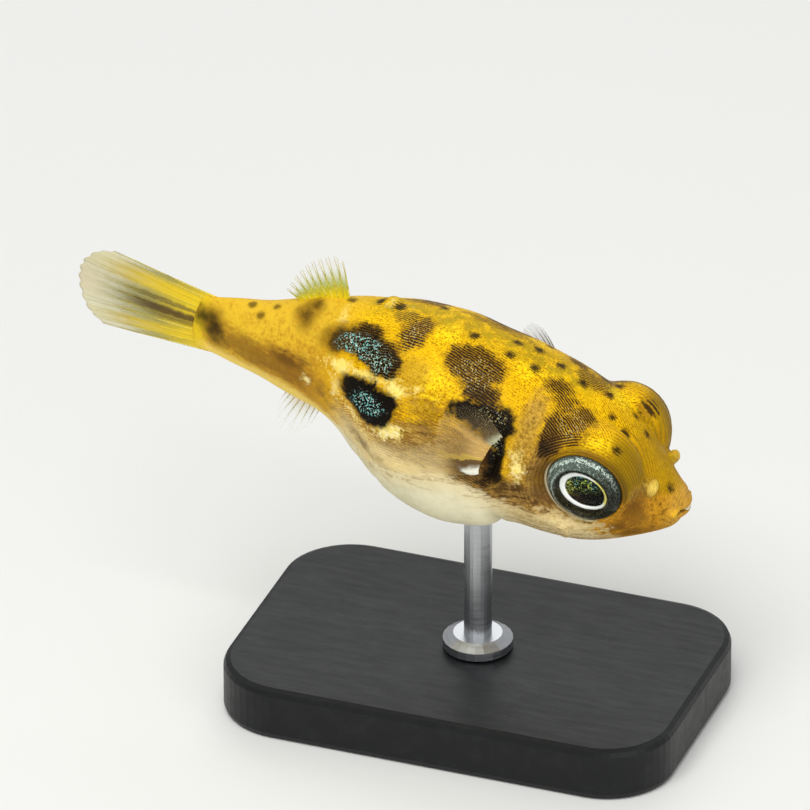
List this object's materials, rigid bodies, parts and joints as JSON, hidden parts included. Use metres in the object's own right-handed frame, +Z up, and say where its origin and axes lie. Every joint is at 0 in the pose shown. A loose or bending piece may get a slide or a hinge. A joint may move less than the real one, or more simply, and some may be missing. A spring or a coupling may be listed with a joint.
{
  "type": "dwarf freshwater pufferfish on a display stand",
  "caption": "Life-size dwarf freshwater pufferfish nosing down, golden with dark blotches, held by a steel rod on a black base.",
  "frame": {"origin": "centre of the underside of the stand base", "axes": "+X the way the fish swims, +Y towards its left side, +Z up"},
  "size_m": [0.028, 0.013, 0.0203],
  "materials": {
    "skin": "moist satin skin, golden with dark brown blotches and a cream belly",
    "fin": "thin translucent fin skin with darker rays",
    "eye": "glossy clear cornea over a grey-blue ring, a white inner ring and a dark oval pupil",
    "beak": "smooth enamel",
    "base_black": "satin black acrylic with polished bevels",
    "rod_steel": "fine turned finish"
  },
  "bodies": {
    "root": {"head": "skin", "trunk": "skin", "tail": "skin", "lip_upper": "skin", "lip_lower": "skin", "nostril_left": "skin", "nostril_right": "skin", "beak_upper": "beak", "beak_lower": "beak", "eye_left": "eye", "eye_right": "eye", "fin_dorsal": "fin", "fin_anal": "fin", "fin_caudal": "fin", "fin_pectoral_left": "fin", "fin_pectoral_right": "fin", "stand_base": "base_black", "stand_rod": "rod_steel"}
  },
  "joints": []
}
